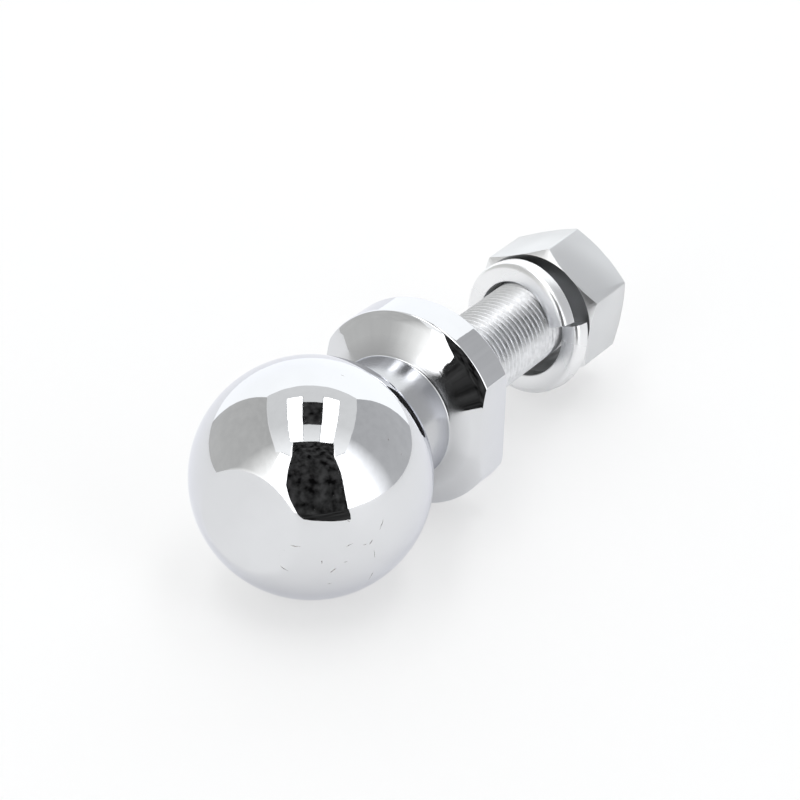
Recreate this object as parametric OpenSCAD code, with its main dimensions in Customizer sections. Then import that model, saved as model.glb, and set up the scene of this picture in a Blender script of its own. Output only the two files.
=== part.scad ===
// Threaded tow ball: a forged and turned ball stud, a split lock washer and a hex nut.
// It lies on its side on the ball and on the flange's rear edge, as it comes to rest on a floor.
// Everything is drawn along a local Z that runs from the ball's centre to the shank's end,
// and lay_down() then sets it on the floor. Millimetres, +Z up, origin under the middle of its box.

/* [Ball] */
// Diameter of the tow ball
ball_d = 50.8; // [45:0.1:60]
// Diameter of the flat on the ball's crown
crown_d = 22.9; // [10:0.1:35]
// Diameter of the neck behind the ball
neck_d = 28.2; // [20:0.1:38]
// Fillet between the ball and the neck
ball_fillet = 0.6; // [0.2:0.1:2]
// Fillet between the neck and the flange
neck_fillet = 0.7; // [0.2:0.1:2]

/* [Flange] */
// Diameter of the flange
flange_d = 45; // [38:0.1:60]
// From the ball's centre to the face that sits on the drawbar
seat_at = 45.4; // [35:0.1:70]
// Length of the flange's round edge
rim_len = 8.4; // [4:0.1:15]
// From the ball's centre to where the cone leaves the neck
cone_at = 31.9; // [25:0.1:50]
// Distance across the two wrench flats
flats_af = 39.4; // [34:0.1:55]
// Bevel on the flange's two round edges
rim_bevel = 0.5; // [0.2:0.1:1.5]

/* [Shank] */
// Diameter over the thread
shank_d = 19.05; // [12:0.05:32]
// Length of the shank from the seat
shank_len = 63.5; // [40:0.1:90]
// Bevel at the shank's end
shank_bevel = 1.2; // [0.5:0.1:3]
// Pitch of the thread, 16 to the inch
pitch = 1.5875; // [1:0.05:4]
// Depth of the thread
thread_depth = 0.95; // [0.3:0.05:2]
// Length of the plain collar between the seat and the thread
collar_len = 0.4; // [0.1:0.1:3]
// How far the collar stands proud of the thread, on the radius
collar_step = 0.15; // [0.05:0.05:1]

/* [Nut] */
// Distance across the nut's flats
nut_af = 28.6; // [20:0.1:50]
// Thickness of the nut
nut_h = 15.7; // [8:0.1:30]
// From the seat to the nut's near face
nut_at = 46.7; // [10:0.1:60]
// Running clearance between the nut's bore and the shank, on the radius
nut_gap = 0.05; // [0.01:0.01:0.1]
// Slope of the nut's corner bevels
nut_slope = 25; // [15:1:45]
// How far the corner bevels reach in from the flats
nut_bevel = 0.5; // [0.2:0.1:2]
// Depth of the countersink at both ends of the nut's bore
nut_mouth = 1; // [0.2:0.1:3]
// Turn of the nut about the shank
nut_turn = 7; // [0:1:60]

/* [Lock washer] */
// Inside diameter of the washer
washer_hole_d = 22.3; // [13:0.1:40]
// Width of the washer's section
washer_w = 4.5; // [2:0.1:8]
// Thickness of the washer's section
washer_t = 4; // [2:0.1:8]
// How far one end of the split stands off the other along the shank
washer_rise = 4.1; // [1:0.1:8]
// Width of the split, in degrees
split_deg = 4; // [2:1:20]
// Place of the split about the shank, in degrees
split_at = 249; // [0:1:360]
// Bevel on the washer's edges
washer_bevel = 0.4; // [0.1:0.1:1]
// Bevel on the outer edge that faces the ball
washer_front = 0.9; // [0.1:0.1:2]
// Lean of the washer to the side, in degrees
lean_side = 10.5; // [0:0.5:15]
// Lean of the washer forward, in degrees
lean_fore = 4; // [0:0.5:10]
// Clearance between the hanging washer and the top of the shank
hang_gap = 0.2; // [0.05:0.05:1]
// From the nut's near face to the middle of the washer
washer_back = 4.5; // [1:0.05:15]

/* [Hidden] */
$fn = 128;

ball_r = ball_d / 2;
crown_r = crown_d / 2;
crown_at = sqrt(ball_r * ball_r - crown_r * crown_r);
neck_r = neck_d / 2;
flange_r = flange_d / 2;
rim_at = seat_at - rim_len;
shank_r = shank_d / 2;
root_r = shank_r - thread_depth;
shank_end = seat_at + shank_len;
thread_steps = 32;
thread_start = seat_at - 2 * pitch;
thread_turns = ceil(shank_len / pitch) + 4;
thread_end = thread_start + pitch * thread_turns;
nut_face = seat_at + nut_at;
washer_r = washer_hole_d / 2;
washer_at = nut_face - washer_back;

// The part rests on the ball and on the last full circle of the flange's edge
edge_at = seat_at - rim_bevel;
tilt = atan2(edge_at, flange_r) - acos(ball_r / norm([edge_at, flange_r]));
low_x = -crown_at * cos(tilt) - crown_r * sin(tilt);
high_x = shank_end * cos(tilt) + (shank_r - shank_bevel) * sin(tilt);
mid_x = (low_x + high_x) / 2;

// Sets what is drawn along Z down on the floor, with local +X pointing down
module lay_down() {
    translate([-mid_x, 0, ball_r])
        rotate([0, 90 + tilt, 0])
            children();
}

// Turned outline of the neck, the cone and the flange's edge
module flange_outline() {
    rim_front = rim_at + rim_bevel;
    cone_run = (rim_at - cone_at) / (flange_r - neck_r);
    polygon([
        [0, 0],
        [neck_r, 0],
        [neck_r, cone_at],
        [flange_r - rim_bevel, rim_at - rim_bevel * cone_run],
        [flange_r, rim_front],
        [flange_r, edge_at],
        [flange_r - rim_bevel, seat_at],
        [0, seat_at]
    ]);
}

// Ring of metal that rounds the corner between the ball and the neck
module ball_corner() {
    reach = ball_r + ball_fillet;
    ring_r = neck_r + ball_fillet;
    ring_z = sqrt(reach * reach - ring_r * ring_r);
    touch = ball_r / reach;
    rotate_extrude()
        difference() {
            polygon([
                [neck_r - ball_fillet, ring_z],
                [neck_r - ball_fillet, ring_z * touch - ball_fillet],
                [ring_r * touch, ring_z * touch],
                [ring_r, ring_z]
            ]);
            translate([ring_r, ring_z])
                circle(r = ball_fillet);
        }
}

// Ring of metal that rounds the corner between the neck and the cone
module cone_corner() {
    cone_deg = atan2(rim_at - cone_at, flange_r - neck_r);
    half = (90 + cone_deg) / 2;
    leg = neck_fillet / tan(half);
    ring_r = neck_r + neck_fillet;
    ring_z = cone_at - leg;
    rotate_extrude()
        difference() {
            polygon([
                [neck_r - neck_fillet, ring_z],
                [ring_r, ring_z],
                [neck_r + leg * cos(cone_deg), cone_at + leg * sin(cone_deg)],
                [neck_r - neck_fillet, cone_at + neck_fillet]
            ]);
            translate([ring_r, ring_z])
                circle(r = neck_fillet);
        }
}

// Rod with a right-hand thread, from inside the flange to past the shank's end. The lines of its
// grid run along the rod, and each is one step round it and a share of the pitch further on.
module threaded_rod() {
    ridge = [[root_r, 0], [shank_r, 7 / 16], [shank_r, 9 / 16]];
    n = len(ridge);
    rows = thread_turns * n;
    top = rows - n - 1;
    grid = [
        for (i = [0:thread_steps - 1]) let (turn = 360 * i / thread_steps)
            for (k = [0:thread_turns - 1]) for (p = ridge)
                [p[0] * cos(turn), p[0] * sin(turn), thread_start + pitch * (k + p[1] + i / thread_steps)]
    ];
    // Past the last line comes the first one again, one turn higher
    function at(i, j) = i < thread_steps ? i * rows + j : j + n;
    sides = [
        for (i = [0:thread_steps - 1]) for (j = [0:top - 1])
            for (f = [
                [at(i, j), at(i, j + 1), at(i + 1, j + 1)],
                [at(i, j), at(i + 1, j + 1), at(i + 1, j)]
            ]) f
    ];
    low_ring = concat([for (j = [n:-1:0]) at(0, j)], [for (i = [1:thread_steps - 1]) at(i, 0)]);
    top_ring = concat(
        [for (j = [top + 1:top + n]) at(0, j)],
        [for (i = [thread_steps - 1:-1:0]) at(i, top)]
    );
    low_hub = len(grid);
    top_hub = low_hub + 1;
    polyhedron(
        points = concat(grid, [[0, 0, thread_start], [0, 0, thread_end]]),
        faces = concat(sides, fan(low_ring, low_hub), fan(top_ring, top_hub))
    );
}

// Triangles from a ring of points to a hub
function fan(ring, hub) = [
    for (i = [0:len(ring) - 1]) [ring[i], ring[(i + 1) % len(ring)], hub]
];

// All that lies past the shank's end, and past the cone of its bevel
module past_shank() {
    wide = shank_r + shank_bevel;
    rotate_extrude()
        polygon([
            [0, shank_end],
            [shank_r - shank_bevel, shank_end],
            [wide, shank_end - 2 * shank_bevel],
            [wide, thread_end + pitch],
            [0, thread_end + pitch]
        ]);
}

// One forging, turned and threaded: ball with a flat crown, neck, flange and shank
module ball_stud() {
    far = flange_d;
    color("silver")
        lay_down() {
            difference() {
                union() {
                    sphere(r = ball_r);
                    rotate_extrude()
                        flange_outline();
                    ball_corner();
                    cone_corner();
                    threaded_rod();
                    translate([0, 0, seat_at - rim_bevel])
                        cylinder(r = shank_r + collar_step, h = rim_bevel + collar_len);
                }
                past_shank();
                translate([-far / 2, -far / 2, -crown_at - far])
                    cube([far, far, far]);
                for (side = [0, 180])
                    rotate([0, 0, side])
                        translate([-far / 2, flats_af / 2, cone_at])
                            cube([far, far, far]);
            }
        }
}

// Split spring washer: a left-hand coil whose section climbs by washer_rise on its way round
module coil() {
    steps = 72;
    sweep = 360 - split_deg;
    outer = washer_r + washer_w;
    b = washer_bevel;
    section = [
        [washer_r + b, 0], [outer - washer_front, 0], [outer, washer_front], [outer, washer_t - b],
        [outer - b, washer_t], [washer_r + b, washer_t], [washer_r, washer_t - b], [washer_r, b]
    ];
    n = len(section);
    points = [
        for (i = [0:steps]) let (t = i / steps, turn = split_deg / 2 + sweep * t)
            for (p = section)
                [p[0] * cos(turn), p[0] * sin(turn), p[1] + washer_rise * (1 / 2 - t) - washer_t / 2]
    ];
    sides = [
        for (i = [0:steps - 1]) for (j = [0:n - 1]) let (k = (j + 1) % n)
            for (f = [
                [i * n + j, (i + 1) * n + j, (i + 1) * n + k],
                [i * n + j, (i + 1) * n + k, i * n + k]
            ]) f
    ];
    ends = [
        [for (j = [0:n - 1]) j],
        [for (j = [n - 1:-1:0]) steps * n + j]
    ];
    polyhedron(points = points, faces = concat(sides, ends));
}

// The washer hangs on the shank and leans on the nut
module lock_washer() {
    hang = washer_r - shank_r - hang_gap;
    color("gainsboro")
        lay_down()
            translate([hang, 0, washer_at])
                rotate([lean_side, lean_fore, 0])
                    rotate([0, 0, split_at])
                        coil();
}

// Hex nut, bevelled on both faces, with countersunk ends to its bore
module hex_nut() {
    corner_r = nut_af / 2 / cos(30);
    face_r = nut_af / 2 - nut_bevel;
    drop = (corner_r - face_r) * tan(nut_slope);
    bore_r = shank_r + nut_gap;
    mouth_r = bore_r + nut_mouth;
    past = nut_h / 4;
    color("gainsboro")
        lay_down()
            translate([0, 0, nut_face])
                difference() {
                    intersection() {
                        rotate([0, 0, nut_turn])
                            cylinder(r = corner_r, h = nut_h, $fn = 6);
                        rotate_extrude()
                            polygon([
                                [0, 0], [face_r, 0], [corner_r, drop],
                                [corner_r, nut_h - drop], [face_r, nut_h], [0, nut_h]
                            ]);
                    }
                    translate([0, 0, -past])
                        cylinder(r = bore_r, h = nut_h + 2 * past);
                    translate([0, 0, -past])
                        cylinder(r1 = mouth_r + past, r2 = bore_r, h = nut_mouth + past);
                    translate([0, 0, nut_h - nut_mouth])
                        cylinder(r1 = bore_r, r2 = mouth_r + past, h = nut_mouth + past);
                }
}

ball_stud();
lock_washer();
hex_nut();
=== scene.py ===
"""Threaded tow ball: chromed ball stud, split lock washer and hex nut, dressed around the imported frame."""

import math
import random

import bmesh
import bpy
from bpy.props import FloatProperty, FloatVectorProperty, IntProperty, PointerProperty
from mathutils import Matrix, Vector

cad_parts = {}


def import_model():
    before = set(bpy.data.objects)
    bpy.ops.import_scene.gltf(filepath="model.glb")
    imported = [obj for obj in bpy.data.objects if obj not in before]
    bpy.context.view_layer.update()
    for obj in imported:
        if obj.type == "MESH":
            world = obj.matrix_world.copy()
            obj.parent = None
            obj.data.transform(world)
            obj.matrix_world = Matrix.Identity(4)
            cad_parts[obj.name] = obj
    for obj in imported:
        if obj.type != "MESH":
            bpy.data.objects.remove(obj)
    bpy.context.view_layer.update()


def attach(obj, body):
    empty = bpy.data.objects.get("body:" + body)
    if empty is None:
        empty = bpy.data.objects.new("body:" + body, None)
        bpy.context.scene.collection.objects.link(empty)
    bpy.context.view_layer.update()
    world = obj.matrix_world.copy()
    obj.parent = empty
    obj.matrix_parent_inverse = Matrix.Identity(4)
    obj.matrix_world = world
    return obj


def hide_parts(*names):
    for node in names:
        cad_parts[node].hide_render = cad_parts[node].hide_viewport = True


bl_info = {
    "name": "Threaded tow ball",
    "version": (1, 0, 0),
    "blender": (4, 5, 0),
    "location": "3D View > Sidebar > Tow ball",
    "description": "Builds a chromed tow ball with its lock washer and nut, and the studio around it",
    "category": "Object",
}

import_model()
MM = 0.001
HALF = 0.5
TURN = math.tau
WELD = 2e-6
LEVEL = 1e-5
GUARD = 0.15 * MM

# Where the ball has picked up small marks: longitudes from and to, latitudes from and to, and how many.
# Longitude runs about the shank from straight down, latitude from the ball's waist to the neck, in degrees.
MARKED_PATCHES = ((220, 315, -69, -62, 7), (255, 315, -50, -14, 12), (185, 240, -22, 16, 3))
MARKS_SEED = 5


def length(name, words, millimetres):
    """A size that the sidebar shows in the scene's own units."""
    return FloatProperty(name=name, description=words, default=millimetres * MM, unit="LENGTH", precision=5)


def angle(name, words, degrees):
    """An angle that the sidebar shows in degrees."""
    return FloatProperty(name=name, description=words, default=math.radians(degrees), subtype="ANGLE")


def colour(name, words, red, green, blue):
    """A colour that the sidebar shows as a swatch."""
    return FloatVectorProperty(name=name, description=words, default=(red, green, blue), subtype="COLOR", min=0, max=1)


def share(name, words, value, most=1):
    """A plain number from nothing to most."""
    return FloatProperty(name=name, description=words, default=value, min=0, max=most)


class StudSizes(bpy.types.PropertyGroup):
    """Sizes of the ball stud, from the ball's centre along the shank."""

    ball_d: length("Ball", "Diameter of the tow ball", 50.8)
    crown_d: length("Crown", "Diameter of the flat on the ball's crown", 22.9)
    crown_edge: length("Crown edge", "Radius that softens the crown's edge", 2.5)
    neck_d: length("Neck", "Diameter of the neck behind the ball", 28.2)
    ball_fillet: length("Ball fillet", "Fillet between the ball and the neck", 0.6)
    neck_fillet: length("Neck fillet", "Fillet between the neck and the cone", 0.7)
    cone_at: length("Cone", "From the ball's centre to where the cone leaves the neck", 31.9)
    bend_d: length("Bend", "Diameter at which the cone bends towards the rim", 42.92)
    bend_round: length("Bend rounding", "Radius of the cone's bend", 9)
    flange_d: length("Flange", "Diameter of the flange", 45)
    rim_len: length("Rim", "Length of the flange's round edge", 8.4)
    rim_round: length("Rim rounding", "Radius that rounds the flange's two edges", 0.8)
    seat_at: length("Seat", "From the ball's centre to the face that sits on the drawbar", 45.4)
    seat_bevel: length("Seat bevel", "Bevel that the part rests on", 0.5)
    flats_af: length("Flats", "Distance across the two wrench flats", 39.4)
    flat_edge: length("Flat edge", "Width of the rounding along the flats", 0.25)
    shank_d: length("Shank", "Diameter over the thread", 19.05)
    shank_len: length("Shank length", "Length of the shank from the seat", 63.5)
    shank_bevel: length("Shank bevel", "Bevel at the shank's end", 1.2)
    pitch: length("Pitch", "Pitch of the thread, 16 to the inch", 1.5875)
    depth: length("Depth", "Depth of the thread", 0.95)
    collar_len: length("Collar", "Length of the plain collar between the seat and the thread", 0.4)
    collar_step: length("Collar step", "How far the collar stands proud of the thread, on the radius", 0.15)
    cone_slope: angle("Cone slope", "Slope of the cone where it leaves the neck", 29.5)
    steps: IntProperty(name="Steps", description="Facets around a turned face", default=192, min=24)


class NutSizes(bpy.types.PropertyGroup):
    """Sizes of the hex nut."""

    across: length("Across flats", "Distance across the nut's flats", 28.6)
    thick: length("Thickness", "Thickness of the nut", 15.7)
    nut_at: length("Place", "From the seat to the nut's near face", 46.7)
    face_d: length("Face", "Diameter at which the corner bevels start", 28.8)
    mouth: length("Mouth", "Depth of the countersink at both ends of the bore", 1)
    corner_cut: length("Corner", "How much the six corners are rounded off", 0.1)
    edge: length("Edge", "Width of the rounding along the edges", 0.16)
    play: length("Play", "Clearance between the two threads, on the radius", 0.1)
    slope: angle("Slope", "Slope of the corner bevels", 32)
    turn: angle("Turn", "Turn of the nut about the shank", 7)


class WasherSizes(bpy.types.PropertyGroup):
    """Sizes of the split lock washer."""

    hole_d: length("Hole", "Inside diameter of the washer", 22.3)
    wide: length("Width", "Width of the washer's section", 4.5)
    thick: length("Thickness", "Thickness of the washer's section", 4)
    rise: length("Rise", "How far one end of the split stands off the other", 4.1)
    front_edge: length("Front edge", "Rounding of the outer edge that faces the ball", 1.5)
    edge: length("Edges", "Rounding of the other edges", 0.4)
    back: length("Place", "From the nut's near face to the middle of the washer", 4.5)
    hang: length("Hang", "Clearance between the hanging washer and the shank", 0.2)
    split: angle("Split", "Width of the split", 4)
    split_at: angle("Split place", "Place of the split about the shank", 249)
    lean_side: angle("Lean to the side", "Lean of the washer to the side", 10.5)
    lean_fore: angle("Lean forward", "Lean of the washer forward", 4)


class Finishes(bpy.types.PropertyGroup):
    """Colours and gloss of the metals."""

    chrome: colour("Chrome", "Colour of the polished chrome", 0.74, 0.748, 0.765)
    chrome_rim: colour("Chrome rim", "Colour of the chrome at a grazing angle", 0.95, 0.955, 1)
    worn: colour("Worn spots", "Colour inside the ball's small marks", 0.24, 0.22, 0.21)
    nut_plating: colour("Nut", "Colour of the nut's plating", 0.72, 0.728, 0.74)
    washer_plating: colour("Washer", "Colour of the washer's plating", 0.89, 0.895, 0.905)
    # Painted shade: a dark colour for the washer's rear face and bore and the nut's near face and bore, where shade
    # falls between the parts.
    painted_shade: colour("Painted shade", "Colour of the faces darkened as painted shade", 0.36, 0.365, 0.37)
    chrome_rough: share("Chrome roughness", "Roughness of the polished chrome", 0.03)
    neck_rough: share("Neck roughness", "Roughness of the neck, which is turned but not polished", 0.2)
    thread_rough: share("Thread roughness", "Roughness of the chrome on the thread", 0.33)
    plating_rough: share("Plating roughness", "Roughness of the nut's flats", 0.4)
    painted_shade_rough: share("Painted shade roughness", "Roughness of the faces darkened as painted shade", 0.34)
    spring_rough: share("Spring roughness", "Roughness of the lock washer", 0.28)


class Studio(bpy.types.PropertyGroup):
    """The floor, the cards and the camera. A level of 1 is white."""

    floor_d: FloatProperty(name="Floor", description="Width of the floor", default=12, unit="LENGTH")
    reach: FloatProperty(name="Reach", description="From the part to the side walls", default=1.15, unit="LENGTH")
    floor_colour: colour("Floor", "Colour of the floor", 0.94, 0.94, 0.943)
    floor_lift: share("Floor lift", "How much of plain white the camera sees in the floor", 0.52)
    floor_gloss_lift: share("Mirrored floor lift", "How much of plain white the metal mirrors in the floor", 0.32)
    wall_level: share("Walls", "Level of the side walls", 0.58, 5)
    panel_level: share("Ceiling", "Level of the ceiling panel", 0.83, 5)
    back_level: share("Back wall", "Level of the back wall", 1.32, 5)
    front_level: share("Front cards", "Level of the cards at the front", 2.2, 5)
    tube_level: share("Tubes", "Level of the two strip lights", 3.6, 5)
    gap_level: share("Gaps", "Level of the dark gaps", 0.035, 5)
    camera_at: FloatVectorProperty(
        name="Camera", description="Place of the camera", default=(-0.525869, -0.324046, 0.399743),
        subtype="TRANSLATION",
    )
    camera_tip: angle("Camera tip", "How far the camera is tipped up from looking straight down", 58.536)
    camera_turn: angle("Camera turn", "Turn of the camera about the vertical", -57.947)
    lens: FloatProperty(name="Lens", description="Focal length in millimetres", default=150.825, subtype="NONE")


def lying(stud):
    """The matrix that lays what is drawn along Z on the floor, on the ball and the flange's rear edge."""
    ball_r, flange_r = stud.ball_d * HALF, stud.flange_d * HALF
    edge_at = stud.seat_at - stud.seat_bevel
    tilt = math.atan2(edge_at, flange_r) - math.acos(ball_r / math.hypot(edge_at, flange_r))
    crown_r, shank_end = stud.crown_d * HALF, stud.seat_at + stud.shank_len
    low = -crown_z(stud) * math.cos(tilt) - crown_r * math.sin(tilt)
    high = shank_end * math.cos(tilt) + (stud.shank_d * HALF - stud.shank_bevel) * math.sin(tilt)
    place = Matrix.Translation((-(low + high) * HALF, 0, ball_r))
    return place @ Matrix.Rotation(math.radians(90) + tilt, 4, "Y")


def crown_z(stud):
    """How far the crown's flat lies from the ball's centre."""
    return math.sqrt((stud.ball_d * HALF) ** 2 - (stud.crown_d * HALF) ** 2)


def arc(centre, radius, start, end, steps):
    """Points (r, z) of an arc, with its angles from +r towards +z."""
    return [
        (centre[0] + radius * math.cos(a), centre[1] + radius * math.sin(a))
        for a in (start + (end - start) * i / steps for i in range(steps + 1))
    ]


def rounded(before, corner, after, radius, steps=8):
    """The arc of that radius which rounds the corner between two other points."""
    corner = Vector(corner)
    to, fro = (Vector(before) - corner).normalized(), (Vector(after) - corner).normalized()
    half = to.angle(fro) * HALF
    centre = corner + (to + fro).normalized() * (radius / math.sin(half))
    first = corner + to * (radius / math.tan(half)) - centre
    last = corner + fro * (radius / math.tan(half)) - centre
    start = math.atan2(first.y, first.x)
    sweep = (math.atan2(last.y, last.x) - start + math.pi) % TURN - math.pi
    return arc(centre, radius, start, start + sweep, steps)


def guarded(outline):
    """The same outline with a point close to both ends of each long side, so that its shading stays straight."""
    points = [Vector(outline[0])]
    for a, b in zip(map(Vector, outline), map(Vector, outline[1:])):
        if (b - a).length > 4 * GUARD:
            along = (b - a).normalized() * GUARD
            points += [a + along, b - along]
        points.append(b)
    return points


def chain(bm, points):
    """A row of vertices in the XZ plane, joined by edges."""
    verts = [bm.verts.new((r, 0, z)) for r, z in points]
    return verts + [bm.edges.new(pair) for pair in zip(verts, verts[1:])]


def turned(bm, outline, steps):
    """Turns an outline of (r, z) points once around Z and closes its seam and its poles."""
    before = set(bm.verts)
    bmesh.ops.spin(
        bm, geom=chain(bm, outline), cent=(0, 0, 0), axis=(0, 0, 1), dvec=(0, 0, 0),
        angle=TURN, steps=steps, use_merge=True, use_duplicate=False,
    )
    bmesh.ops.remove_doubles(bm, verts=[v for v in bm.verts if v not in before], dist=WELD)


def screwed(bm, outline, start, pitch, turns, steps=72):
    """A right-hand thread: one pitch's outline, turned once while it climbs, and that turn repeated along Z."""
    bmesh.ops.spin(
        bm, geom=chain(bm, [(r, start + z) for r, z in outline]), cent=(0, 0, 0), axis=(0, 0, 1),
        dvec=(0, 0, pitch / steps), angle=TURN, steps=steps, use_merge=False, use_duplicate=False,
    )
    first = everything(bm)
    for turn in range(1, turns):
        again = bmesh.ops.duplicate(bm, geom=first)["geom"]
        verts = [v for v in again if isinstance(v, bmesh.types.BMVert)]
        bmesh.ops.translate(bm, verts=verts, vec=(0, 0, pitch * turn))
    bmesh.ops.remove_doubles(bm, verts=bm.verts, dist=WELD)


def everything(bm):
    """All of a bmesh's geometry, as the bisecting operator takes it."""
    return bm.verts[:] + bm.edges[:] + bm.faces[:]


def around(faces):
    """Those faces with their vertices and edges."""
    return list({v for f in faces for v in f.verts}) + list({e for f in faces for e in f.edges}) + faces


def cut(bm, geom, place, towards):
    """Cuts away what lies past a plane, and gives the edges of the cut."""
    done = bmesh.ops.bisect_plane(
        bm, geom=geom, dist=1e-8, plane_co=place, plane_no=towards, clear_outer=True, clear_inner=False,
    )
    return [e for e in done["geom_cut"] if isinstance(e, bmesh.types.BMEdge)]


def rim_edges(bm, level):
    """The open edges that lie at one level of Z."""
    return [e for e in bm.edges if e.is_boundary and all(abs(v.co.z - level) < LEVEL for v in e.verts)]


def thread_outline(pitch, crest_r, depth):
    """One pitch of a 60 degree thread, from one root to the next."""
    root_r, shoulder_r = crest_r - depth, crest_r - 0.06 * depth
    shape = (
        (root_r, 0), (root_r, 0.08), (shoulder_r, 0.42), (crest_r, 0.46),
        (crest_r, 0.54), (shoulder_r, 0.58), (root_r, 0.92), (root_r, 1),
    )
    return [(r, along * pitch) for r, along in shape]


def finished(bm, name, lie, body, node, finishes, sharp=24):
    """Makes the piece of a bmesh laid in its place, and says what it rides on and stands for."""
    bmesh.ops.recalc_face_normals(bm, faces=bm.faces)
    bmesh.ops.transform(bm, matrix=lie, verts=bm.verts)
    open_edges = [e for e in bm.edges if len(e.link_faces) != 2]
    if open_edges:
        raise RuntimeError(f"{name} has {len(open_edges)} edges that don't join two faces")
    mesh = bpy.data.meshes.new(name)
    bm.to_mesh(mesh)
    bm.free()
    mesh.polygons.foreach_set("use_smooth", [True] * len(mesh.polygons))
    mesh.set_sharp_from_angle(angle=math.radians(sharp))
    for finish in finishes:
        mesh.materials.append(finish)
    piece = bpy.data.objects.new(name, mesh)
    bpy.context.scene.collection.objects.link(piece)
    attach(piece, body)
    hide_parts(node)
    return piece


def new_finish(name):
    """A material with its node tree and its shader."""
    finish = bpy.data.materials.new(name)
    finish.use_nodes = True
    return finish, finish.node_tree, finish.node_tree.nodes["Principled BSDF"]


def add(tree, kind, sockets=(), **settings):
    """Adds a node with its settings. A socket takes a value, or the output that it is joined to."""
    node = tree.nodes.new("ShaderNode" + kind)
    for key, value in settings.items():
        setattr(node, key, value)
    for socket, value in dict(sockets).items():
        join(tree, node.inputs[socket], value)
    return node


def join(tree, socket, value):
    """Gives a socket a value, or joins it to an output."""
    if isinstance(value, bpy.types.NodeSocket):
        tree.links.new(value, socket)
    else:
        socket.default_value = value


def along_shank(tree, stud, scale=(1, 1, 1)):
    """Coordinates with Z along the shank and the ball's centre at zero, stretched by a scale."""
    place = lying(stud)
    own = add(tree, "TexCoord").outputs["Object"]
    local = add(
        tree, "Mapping", {"Vector": own, "Location": place.translation, "Rotation": place.to_euler()},
        vector_type="TEXTURE",
    )
    return add(tree, "Mapping", {"Vector": local.outputs[0], "Scale": scale}).outputs[0]


def noise(tree, vector, scale, detail=3):
    """A noise pattern's value, from 0 to 1."""
    return add(tree, "TexNoise", {"Vector": vector, "Scale": scale, "Detail": detail}).outputs[0]


def between(tree, value, low, high, new_low, new_high):
    """The value moved from one range to another."""
    return add(
        tree, "MapRange",
        {"Value": value, "From Min": low, "From Max": high, "To Min": new_low, "To Max": new_high},
    ).outputs[0]


def reckon(tree, operation, one, other):
    """One or two values put through an operation."""
    return add(tree, "Math", {0: one, 1: other}, operation=operation).outputs[0]


def tinted(tree, factor, one, other):
    """A colour between two, by a factor."""
    mix = add(tree, "Mix", {0: factor}, data_type="RGBA")
    for socket, value in ((mix.inputs[6], one), (mix.inputs[7], other)):
        join(tree, socket, value if isinstance(value, bpy.types.NodeSocket) else (*value, 1))
    return mix.outputs[2]


def relief(tree, height, distance, under=None):
    """A bump of that height on top of another."""
    bump = add(tree, "Bump", {"Strength": 1, "Distance": distance, "Height": height})
    if under:
        tree.links.new(under, bump.inputs["Normal"])
    return bump.outputs[0]


def ball_marks(tree, stud, plain):
    """A value of 1 inside the small marks that the ball has picked up, and 0 elsewhere."""
    ragged = add(tree, "TexNoise", {"Vector": plain, "Scale": 2500, "Detail": 2}).outputs["Color"]
    shift = add(tree, "VectorMath", {0: ragged, 1: (HALF, HALF, HALF)}, operation="SUBTRACT").outputs[0]
    wobble = add(tree, "VectorMath", {0: shift, "Scale": 0.35 * MM}, operation="SCALE").outputs[0]
    point = add(tree, "VectorMath", {0: plain, 1: wobble}, operation="ADD").outputs[0]
    nearest = 2
    chance = random.Random(MARKS_SEED)
    for first_longitude, last_longitude, lowest, highest, count in MARKED_PATCHES:
        for _ in range(count):
            turn = Matrix.Rotation(math.radians(chance.uniform(first_longitude, last_longitude)), 3, "Z")
            turn @= Matrix.Rotation(-math.radians(chance.uniform(lowest, highest)), 3, "Y")
            turn @= Matrix.Rotation(chance.uniform(0, TURN), 3, "X")
            long, wide = chance.uniform(0.3, 1.3) * MM, chance.uniform(0.06, 0.12) * MM
            spot = add(tree, "Mapping", {
                "Vector": point, "Location": turn @ Vector((stud.ball_d * HALF, 0, 0)),
                "Rotation": turn.to_euler(), "Scale": (MM, long, wide),
            }, vector_type="TEXTURE")
            away = add(tree, "VectorMath", {0: spot.outputs[0]}, operation="LENGTH").outputs["Value"]
            nearest = reckon(tree, "MINIMUM", away, nearest)
    return between(tree, nearest, 0.5, 1.1, 1, 0)


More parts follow.
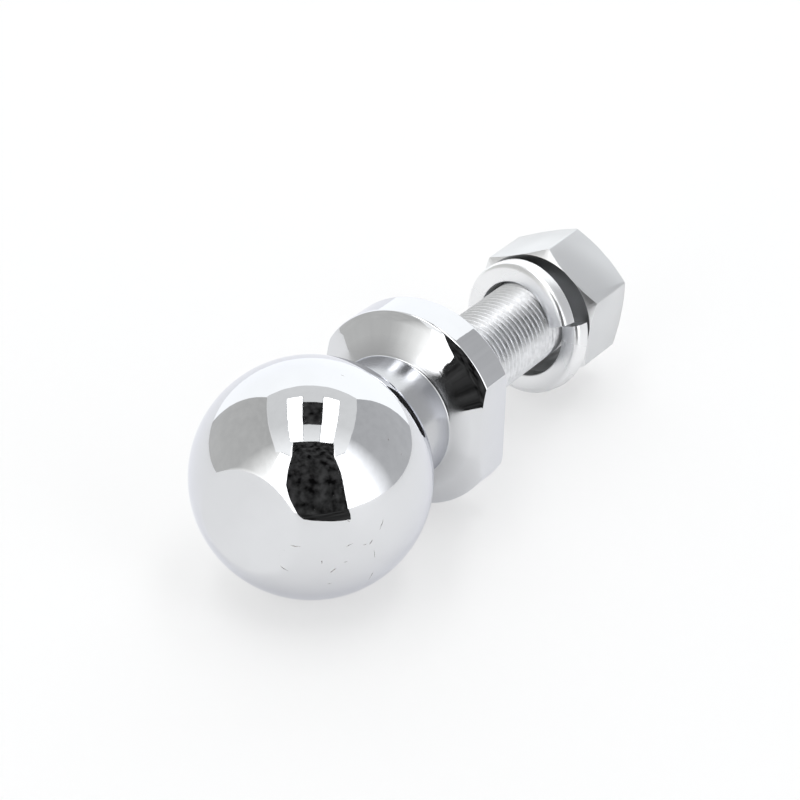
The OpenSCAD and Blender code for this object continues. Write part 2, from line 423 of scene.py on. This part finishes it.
def polished_chrome(stud, looks):
    """Mirror chrome with a faint haze, small marks on the ball, and turning rings on the neck."""
    finish, tree, shader = new_finish("polished_chrome")
    plain = along_shank(tree, stud)
    height = add(tree, "SeparateXYZ", {0: plain}).outputs[2]
    neck = reckon(
        tree, "MULTIPLY", between(tree, height, 21.2 * MM, 21.7 * MM, 0, 1),
        between(tree, height, 32.2 * MM, 34.2 * MM, 1, 0),
    )
    marks = ball_marks(tree, stud, plain)
    haze = between(tree, noise(tree, plain, 120), 0.35, 0.7, looks.chrome_rough * 0.6, looks.chrome_rough * 1.6)
    rough = reckon(tree, "MAXIMUM", haze, reckon(tree, "MULTIPLY", neck, looks.neck_rough))
    tree.links.new(reckon(tree, "MAXIMUM", rough, reckon(tree, "MULTIPLY", marks, 0.4)), shader.inputs["Roughness"])
    shader.inputs["Metallic"].default_value = 1
    shader.inputs["Specular Tint"].default_value = (*looks.chrome_rim, 1)
    darker = tuple(c * 0.95 for c in looks.chrome)
    cloud = tinted(tree, between(tree, noise(tree, plain, 45), 0.4, 0.65, 0, 1), looks.chrome, darker)
    # The neck's colour is darker than the ball's, 0.78 of the chrome.
    darker_neck = tinted(tree, neck, cloud, tuple(c * 0.78 for c in looks.chrome))
    tree.links.new(tinted(tree, marks, darker_neck, looks.worn), shader.inputs["Base Color"])
    waves = relief(tree, noise(tree, plain, 420, 1), 0.006 * MM)
    dents = relief(tree, reckon(tree, "MULTIPLY", marks, -1), 0.03 * MM, waves)
    rings = add(tree, "TexNoise", {"W": height, "Scale": 5000, "Detail": 2}, noise_dimensions="1D").outputs[0]
    tree.links.new(relief(tree, reckon(tree, "MULTIPLY", rings, neck), 0.005 * MM, dents), shader.inputs["Normal"])
    return finish


def chromed_thread(stud, looks):
    """The thinner chrome on the thread, its tone and gloss varying at random."""
    finish, tree, shader = new_finish("chromed_thread")
    plain = along_shank(tree, stud)
    shader.inputs["Metallic"].default_value = 1
    worn = noise(tree, plain, 700)
    tree.links.new(between(tree, worn, 0.3, 0.7, looks.thread_rough * 0.85, looks.thread_rough * 1.3), shader.inputs["Roughness"])
    bright, darker = tuple(c * 1.18 for c in looks.chrome), looks.chrome
    tree.links.new(tinted(tree, between(tree, worn, 0.35, 0.7, 0, 1), bright, darker),
                   shader.inputs["Base Color"])
    tree.links.new(relief(tree, noise(tree, plain, 2500), 0.012 * MM), shader.inputs["Normal"])
    return finish


def plated_steel(name, stud, plating_or_shade, rough, stretch):
    """Plating over machined steel, bright or darkened as painted shade: a soft even gloss with a faint grain along the
    tool marks.
    """
    finish, tree, shader = new_finish(name)
    plain = along_shank(tree, stud)
    shader.inputs["Metallic"].default_value = 1
    cloud = noise(tree, plain, 70, 1)
    tree.links.new(between(tree, cloud, 0.3, 0.7, rough * 0.85, rough * 1.15), shader.inputs["Roughness"])
    darker = tuple(c * 0.95 for c in plating_or_shade)
    tree.links.new(tinted(tree, between(tree, cloud, 0.35, 0.7, 0, 1), plating_or_shade, darker),
                   shader.inputs["Base Color"])
    grain = relief(tree, noise(tree, along_shank(tree, stud, stretch), 1), 0.006 * MM)
    tree.links.new(relief(tree, noise(tree, plain, 1800, 2), 0.002 * MM, grain), shader.inputs["Normal"])
    return finish


def stud_outline(stud):
    """Outline of the turned stud, from the crown's middle to the thread's first turn."""
    ball_r, crown_r, neck_r = stud.ball_d * HALF, stud.crown_d * HALF, stud.neck_d * HALF
    flange_r, rim_at, shank_r = stud.flange_d * HALF, stud.seat_at - stud.rim_len, stud.shank_d * HALF
    soft = stud.crown_edge
    level = soft - crown_z(stud)
    crown_edge = (math.sqrt((ball_r - soft) ** 2 - level ** 2), level)
    crown_turn = math.atan2(crown_edge[1], crown_edge[0])
    ring_r = neck_r + stud.ball_fillet
    ring_z = math.sqrt((ball_r + stud.ball_fillet) ** 2 - ring_r ** 2)
    touch = math.atan2(ring_z, ring_r)
    neck, rim, seat = (neck_r, stud.cone_at), (flange_r, rim_at), (flange_r, stud.seat_at)
    bend_r = stud.bend_d * HALF
    bend = (bend_r, stud.cone_at + (bend_r - neck_r) * math.tan(stud.cone_slope))
    collar = (shank_r + stud.collar_step, stud.seat_at)
    collar_top = (collar[0], stud.seat_at + stud.collar_len)
    hole = (shank_r + WELD, collar_top[1])
    outline = [(0, -crown_z(stud))]
    outline += arc(crown_edge, soft, -TURN / 4, crown_turn, 8)
    outline += arc((0, 0), ball_r, crown_turn, touch, 96)[1:]
    outline += arc((ring_r, ring_z), stud.ball_fillet, touch + math.pi, math.pi, 10)[1:]
    outline += rounded((neck_r, 0), neck, bend, stud.neck_fillet)
    outline += rounded(neck, bend, rim, stud.bend_round, 12)
    outline += rounded(bend, rim, seat, stud.rim_round)
    outline += rounded(rim, seat, collar, stud.rim_round)
    return guarded(outline + [collar, collar_top, hole])


class TOWBALL_OT_stud(bpy.types.Operator):
    """Turns the ball stud, cuts its two flats and threads its shank"""

    bl_idname = "towball.make_stud"
    bl_label = "Make the ball stud"

    def execute(self, context):
        stud, looks = context.scene.towball_stud, context.scene.towball_finishes
        shank_r, end = stud.shank_d * HALF, stud.seat_at + stud.shank_len
        thread_at = stud.seat_at + stud.collar_len
        bm = bmesh.new()
        turns = math.ceil(stud.shank_len / stud.pitch) + 3
        ridge = thread_outline(stud.pitch, shank_r, stud.depth)
        screwed(bm, ridge, stud.seat_at - stud.pitch, stud.pitch, turns)
        for v in bm.verts:
            most = max(MM, shank_r - max(0, v.co.z - (end - stud.shank_bevel)))
            reach = v.co.xy.length
            if reach > most:
                v.co.xy *= most / reach
        cut(bm, everything(bm), (0, 0, thread_at), (0, 0, -1))
        last = cut(bm, everything(bm), (0, 0, end), (0, 0, 1))
        bmesh.ops.edgeloop_fill(bm, edges=last)
        for f in bm.faces:
            f.material_index = 1
        thread_mouth = rim_edges(bm, thread_at)
        turned(bm, stud_outline(stud), stud.steps)
        bmesh.ops.bridge_loops(bm, edges=list(set(thread_mouth) | set(rim_edges(bm, thread_at))))
        flats = []
        for side in (1, -1):
            flange = [f for f in bm.faces if all(stud.cone_at < v.co.z < stud.seat_at + LEVEL for v in f.verts)]
            edges = cut(bm, around(flange), (0, side * stud.flats_af * HALF, 0), (0, side, 0))
            bmesh.ops.edgeloop_fill(bm, edges=edges)
            flats += edges
        bmesh.ops.bevel(
            bm, geom=flats, offset=stud.flat_edge, offset_type="OFFSET", segments=3, profile=0.5,
            affect="EDGES", clamp_overlap=True, material=-1,
        )
        finishes = [polished_chrome(stud, looks), chromed_thread(stud, looks)]
        finished(bm, "ball_forging", lying(stud), "ball_stud", "ball_stud", finishes)
        return {"FINISHED"}


class TOWBALL_OT_washer(bpy.types.Operator):
    """Coils the split lock washer and hangs it on the shank"""

    bl_idname = "towball.make_washer"
    bl_label = "Make the lock washer"

    def execute(self, context):
        scene = context.scene
        stud, nut, washer, looks = scene.towball_stud, scene.towball_nut, scene.towball_washer, scene.towball_finishes
        inner, outer = washer.hole_d * HALF, washer.hole_d * HALF + washer.wide
        high, sweep, steps = washer.thick * HALF, TURN - washer.split, 144
        bm = bmesh.new()
        corners = [bm.verts.new((r, 0, z + washer.rise * HALF)) for r, z in
                   ((inner, -high), (outer, -high), (outer, high), (inner, high))]
        bm.faces.new(corners)
        front, others = corners.pop(1), corners
        for verts, width, segments in (([front], washer.front_edge, 6), (others, washer.edge, 4)):
            bmesh.ops.bevel(bm, geom=verts, offset=width, offset_type="OFFSET", segments=segments,
                            profile=0.5, affect="VERTICES", material=-1)
        bmesh.ops.rotate(bm, verts=bm.verts, cent=(0, 0, 0), matrix=Matrix.Rotation(washer.split * HALF, 3, "Z"))
        bmesh.ops.spin(
            bm, geom=everything(bm), cent=(0, 0, 0), axis=(0, 0, 1), dvec=(0, 0, -washer.rise / steps),
            angle=sweep, steps=steps, use_merge=False, use_duplicate=False,
        )
        hang = inner - stud.shank_d * HALF - washer.hang
        place = Matrix.Translation((hang, 0, stud.seat_at + nut.nut_at - washer.back))
        lean = Matrix.Rotation(washer.lean_fore, 4, "Y") @ Matrix.Rotation(washer.lean_side, 4, "X")
        lie = lying(stud) @ place @ lean @ Matrix.Rotation(washer.split_at, 4, "Z")
        bmesh.ops.recalc_face_normals(bm, faces=bm.faces)
        # Painted shade: the rear face, which faces the nut, and the bore wall take the dark shade finish.
        for f in bm.faces:
            outwards = f.calc_center_median().to_2d().normalized()
            if f.normal.z > 0.7 or f.normal.to_2d().dot(outwards) < -0.7:
                f.material_index = 1
        finishes = [
            plated_steel("plated_spring_steel", stud, looks.washer_plating, looks.spring_rough, (400, 400, 2600)),
            plated_steel("painted_shade_spring_steel", stud, looks.painted_shade, looks.painted_shade_rough, (400, 400, 2600)),
        ]
        finished(bm, "split_washer", lie, "lock_washer", "lock_washer", finishes)
        return {"FINISHED"}


class TOWBALL_OT_nut(bpy.types.Operator):
    """Cuts the hex nut's six flats, its corner bevels and its threaded bore"""

    bl_idname = "towball.make_nut"
    bl_label = "Make the hex nut"

    def execute(self, context):
        scene = context.scene
        stud, nut, looks = scene.towball_stud, scene.towball_nut, scene.towball_finishes
        near = stud.seat_at + nut.nut_at
        far = near + nut.thick
        apothem = nut.across * HALF
        face_r = nut.face_d * HALF
        round_r = apothem / math.cos(math.radians(30)) - nut.corner_cut
        drop = (round_r - face_r) * math.tan(nut.slope)
        bore_r = stud.shank_d * HALF + nut.play
        mouth_r = bore_r + nut.mouth
        bm = bmesh.new()
        turns = math.ceil(nut.thick / stud.pitch) + 3
        first = stud.seat_at + (math.floor(nut.nut_at / stud.pitch) - 1) * stud.pitch
        screwed(bm, thread_outline(stud.pitch, bore_r, stud.depth), first, stud.pitch, turns)
        for v in bm.verts:
            least = mouth_r - max(0, min(v.co.z - near, far - v.co.z))
            reach = v.co.xy.length
            if reach < least:
                v.co.xy *= least / reach
        cut(bm, everything(bm), (0, 0, near), (0, 0, -1))
        cut(bm, everything(bm), (0, 0, far), (0, 0, 1))
        before = set(bm.verts)
        lip = mouth_r + 0.2 * MM
        turned(bm, guarded([
            (lip, near), (face_r, near), (round_r, near + drop),
            (round_r, far - drop), (face_r, far), (lip, far),
        ]), stud.steps)
        for side in range(6):
            turn = nut.turn + math.radians(30 + 60 * side)
            out = Vector((math.cos(turn), math.sin(turn), 0))
            shell = [f for f in bm.faces if all(v not in before for v in f.verts)]
            bmesh.ops.edgeloop_fill(bm, edges=cut(bm, around(shell), out * apothem, out))
        for level in (near, far):
            bmesh.ops.bridge_loops(bm, edges=rim_edges(bm, level))
        bmesh.ops.recalc_face_normals(bm, faces=bm.faces)
        # Painted shade: the near face, which faces the washer, and the whole bore take the dark shade finish; the
        # corner bevels take the brighter turned finish.
        for f in bm.faces:
            if all(v.co.z < near + LEVEL or v.co.xy.length < mouth_r for v in f.verts):
                f.material_index = 1
            elif HALF < abs(f.normal.z) < 0.99 and f.calc_center_median().to_2d().length > face_r:
                f.material_index = 2
        flat_edges = [
            e for e in bm.edges
            if len(e.link_faces) == 2 and e.calc_face_angle() > math.radians(12)
            and min(v.co.xy.length for v in e.verts) > apothem - nut.edge
        ]
        bmesh.ops.bevel(
            bm, geom=flat_edges, offset=nut.edge, offset_type="OFFSET", segments=2, profile=0.5,
            affect="EDGES", clamp_overlap=True, material=-1,
        )
        finishes = [
            plated_steel("plated_nut_steel", stud, looks.nut_plating, looks.plating_rough, (400, 400, 2000)),
            plated_steel("painted_shade_nut_steel", stud, looks.painted_shade, looks.painted_shade_rough, (900, 900, 400)),
            plated_steel("turned_nut_steel", stud, looks.washer_plating, looks.spring_rough, (900, 900, 400)),
        ]
        finished(bm, "nut_body", lying(stud), "hex_nut", "hex_nut", finishes)
        return {"FINISHED"}


def card(name, corners, finish):
    """A flat stage card through its corners."""
    bm = bmesh.new()
    bm.faces.new([bm.verts.new(c) for c in corners])
    mesh = bpy.data.meshes.new(name)
    bm.to_mesh(mesh)
    bm.free()
    mesh.materials.append(finish)
    thing = bpy.data.objects.new(name, mesh)
    bpy.context.scene.collection.objects.link(thing)
    return thing


def glowing(name, level, tint=(1, 1, 1), uneven=0, fade=None, low=0):
    """A stage card's own light. It may be blotched, fade along a direction, or be stronger low down."""
    finish = bpy.data.materials.new(name)
    finish.use_nodes = True
    tree = finish.node_tree
    tree.nodes.remove(tree.nodes["Principled BSDF"])
    place = add(tree, "TexCoord").outputs["Object"]
    if fade:
        along, start, end, first = fade
        level = between(
            tree, add(tree, "VectorMath", {0: place, 1: along}, operation="DOT_PRODUCT").outputs["Value"],
            start, end, first, level,
        )
    if low:
        height = add(tree, "SeparateXYZ", {0: place}).outputs[2]
        level = reckon(tree, "MULTIPLY", level, between(tree, height, 0, 1.5, 1 + low, 1 - low))
    if uneven:
        level = reckon(tree, "MULTIPLY", level, between(tree, noise(tree, place, 5, 4), 0.35, 0.7, 1 - uneven, 1 + uneven))
    glow = add(tree, "Emission", {"Color": (*tint, 1), "Strength": level})
    tree.links.new(glow.outputs[0], tree.nodes["Material Output"].inputs["Surface"])
    return finish


def white_floor(studio):
    """Pale paper, of which the camera sees a share as plain white."""
    floor, tree, shader = new_finish("white_floor")
    paper = noise(tree, add(tree, "TexCoord").outputs["Object"], 300)
    soft = tuple(c * 0.985 for c in studio.floor_colour)
    tree.links.new(tinted(tree, paper, studio.floor_colour, soft), shader.inputs["Base Color"])
    shader.inputs["Roughness"].default_value = 0.6
    shader.inputs["Specular IOR Level"].default_value = 0.2
    path = add(tree, "LightPath").outputs
    seen = reckon(
        tree, "ADD", reckon(tree, "MULTIPLY", path["Is Camera Ray"], studio.floor_lift),
        reckon(tree, "MULTIPLY", path["Is Glossy Ray"], studio.floor_gloss_lift),
    )
    white = add(tree, "Emission", {"Strength": 1})
    mixed = add(tree, "MixShader", {0: seen, 1: shader.outputs[0], 2: white.outputs[0]})
    tree.links.new(mixed.outputs[0], tree.nodes["Material Output"].inputs["Surface"])
    return floor


def mirrored_only(name, level):
    """A dark that shows in mirroring metal and nowhere else."""
    finish = glowing(name, level, uneven=0.9)
    tree = finish.node_tree
    clear, glow = add(tree, "BsdfTransparent"), tree.nodes["Emission"]
    mixed = add(tree, "MixShader", {
        0: add(tree, "LightPath").outputs["Is Glossy Ray"], 1: clear.outputs[0], 2: glow.outputs[0],
    })
    tree.links.new(mixed.outputs[0], tree.nodes["Material Output"].inputs["Surface"])
    return finish


def oblong(near, far, left, right):
    """The corners of an oblong that lies ahead of the part."""
    return (near, left), (far, left), (far, right), (near, right)


class TOWBALL_OT_stage(bpy.types.Operator):
    """Sets up the pale floor, the cards that the chrome mirrors, the light and the camera"""

    bl_idname = "towball.make_stage"
    bl_label = "Make the stage"

    def execute(self, context):
        scene, studio = context.scene, context.scene.towball_studio
        ahead = Vector((-math.sin(studio.camera_turn), math.cos(studio.camera_turn), 0))
        right = Vector((ahead.y, -ahead.x, 0))
        w = studio.reach
        half = studio.floor_d * HALF
        card("floor", [(-half, -half, 0), (half, -half, 0), (half, half, 0), (-half, half, 0)], white_floor(studio))

        # The cards' places are in reaches, ahead of the part, to its right and above its middle
        def at(forward, side, high):
            return (ahead * forward + right * side) * w + Vector((0, 0, high * w + 0.025))

        def overhead(name, outline, high, finish):
            card(name, [at(forward, side, high) for forward, side in outline], finish)

        def beside(name, side, outline, finish):
            card(name, [at(forward, side, high) for forward, high in outline], finish)

        def before(name, forward, outline, finish):
            card(name, [at(forward, side, high) for side, high in outline], finish)

        def fading(lean, start, end, first):
            return ahead + Vector((0, 0, lean)), start * w, end * w, first

        front, back, high_top, lip, thin = -1.1, 1.0, 2.4, 0.01, 0.012
        low, top, wall_top = -0.0212, 1.38, 1.45
        tube = glowing("light_tubes", studio.tube_level)
        edge = glowing("tube_edges", studio.wall_level * HALF, (0.9, 0.95, 1))
        dark = glowing("dark_gap", studio.gap_level, uneven=0.9)
        bright = glowing("front_cards", studio.front_level)
        left_wall = glowing("left_wall", studio.wall_level, (1, 1, 0.98), 0.04, fading(0.3, -0.95, -0.15, 1.65), 0.05)
        right_wall = glowing("right_wall", studio.wall_level * 0.94, (0.98, 0.99, 1.01), 0.04,
                             fading(0.15, -0.82, -0.17, 2.2), 0.06)
        panel = glowing("ceiling_panel", studio.panel_level, (0.99, 1, 1), 0.02, fading(0, -0.85, -0.15, 1.2))

        gap_left = ((-0.23, low), (-0.3, 0.1), (-0.36, 0.21), (-0.48, 0.5), (-0.51, 0.88), (-0.52, 1.4), (-0.71, high_top))
        gap_right = ((0.7, low), (0.68, 0.27), (0.72, 0.89), (0.7, 1.4), (1.0, high_top))
        before("front_gap", front, gap_left + gap_right[::-1], dark)
        before("front_left", front, ((-1, high_top), (-1, low)) + gap_left, bright)
        before("front_right", front, ((1, high_top), (1, low)) + gap_right, bright)
        overhead("floor_gap", (
            (front, -0.23), (-0.52, -0.1), (-0.35, -0.06), (-0.27, -0.04), (-0.22, 0.01), (-0.15, 0.06),
            (-0.22, 0.11), (-0.41, 0.24), (-0.86, 0.55), (front, 0.7),
        ), -0.021, mirrored_only("dark_before_floor", studio.gap_level))
        side_wall = ((front, low), (back, low), (back, wall_top), (-0.85, wall_top), (-0.85, high_top), (front, high_top))
        beside("wall_left", -1, side_wall, left_wall)
        beside("wall_right", 1, side_wall, right_wall)
        left_lip, right_lip = ((-0.92, -0.8), (-1.09, -0.57)), ((-0.86, 1.05), (-1.09, 0.72))
        overhead("ceiling", (
            (back, 0.97), (-0.7, 1.04), *right_lip, (-0.65, 0.56), (-0.66, -0.42), *left_lip[::-1],
            (-0.88, -0.97), (-0.6, -0.93), (back, -0.95),
        ), top, panel)
        for name, (outer, inner) in (("left", left_lip), ("right", right_lip)):
            shift = 1.5 * thin
            overhead("lip_" + name, (outer, inner, (inner[0] + shift, inner[1]), (outer[0] + shift, outer[1])),
                     top - lip, edge)
        for name, (tube_front, tube_back, left, right_side) in {
            "left": (-0.63, 0.54, -0.46, -0.17), "right": (-0.65, 0.55, 0.22, 0.53),
        }.items():
            overhead("tube_edge_" + name, oblong(tube_front, tube_back + thin, left - thin, right_side + thin),
                     top - lip, edge)
            overhead("tube_" + name, oblong(tube_front, tube_back, left, right_side), top - 2 * lip, tube)
        overhead("ceiling_hole", oblong(-0.22, 0.36, -0.17, 0.22), top - 3 * lip, dark)
        wide = 2.2
        before("back_wall", 1.7, ((-wide, low), (wide, low), (wide, high_top), (-wide, high_top)),
               glowing("back_wall", studio.back_level, (0.975, 0.993, 1)))

        world = bpy.data.worlds.new("white_room")
        world.use_nodes = True
        world.node_tree.nodes["Background"].inputs["Color"].default_value = (1, 1, 1, 1)
        world.node_tree.nodes["Background"].inputs["Strength"].default_value = 1
        scene.world = world
        scene.view_settings.view_transform = "Standard"

        lens = bpy.data.cameras.new("camera")
        lens.lens, lens.sensor_width = studio.lens, 36
        camera = bpy.data.objects.new("camera", lens)
        camera.location = studio.camera_at
        camera.rotation_euler = (studio.camera_tip, 0, studio.camera_turn)
        scene.collection.objects.link(camera)
        scene.camera = camera
        return {"FINISHED"}


class TOWBALL_PT_panel(bpy.types.Panel):
    """Lists the sizes and the making of the tow ball"""

    bl_idname = "TOWBALL_PT_panel"
    bl_label = "Tow ball"
    bl_space_type = "VIEW_3D"
    bl_region_type = "UI"
    bl_category = "Tow ball"

    def draw(self, context):
        for operator in OPERATORS:
            self.layout.operator(operator.bl_idname)
        for name, group in GROUPS.items():
            box = self.layout.box()
            for key in group.__annotations__:
                box.prop(getattr(context.scene, name), key)


GROUPS = {
    "towball_stud": StudSizes,
    "towball_nut": NutSizes,
    "towball_washer": WasherSizes,
    "towball_finishes": Finishes,
    "towball_studio": Studio,
}
OPERATORS = (TOWBALL_OT_stage, TOWBALL_OT_stud, TOWBALL_OT_washer, TOWBALL_OT_nut)


def register():
    """Adds the classes and hangs the sizes on the scene."""
    for item in (*GROUPS.values(), *OPERATORS, TOWBALL_PT_panel):
        bpy.utils.register_class(item)
    for name, group in GROUPS.items():
        setattr(bpy.types.Scene, name, PointerProperty(type=group))


def unregister():
    """Takes away what register() added."""
    for name in GROUPS:
        delattr(bpy.types.Scene, name)
    for item in reversed((*GROUPS.values(), *OPERATORS, TOWBALL_PT_panel)):
        bpy.utils.unregister_class(item)


def main():
    """Builds the stage and the pieces."""
    register()
    bpy.ops.towball.make_stage()
    bpy.ops.towball.make_stud()
    bpy.ops.towball.make_washer()
    bpy.ops.towball.make_nut()


if __name__ == "__main__":
    main()
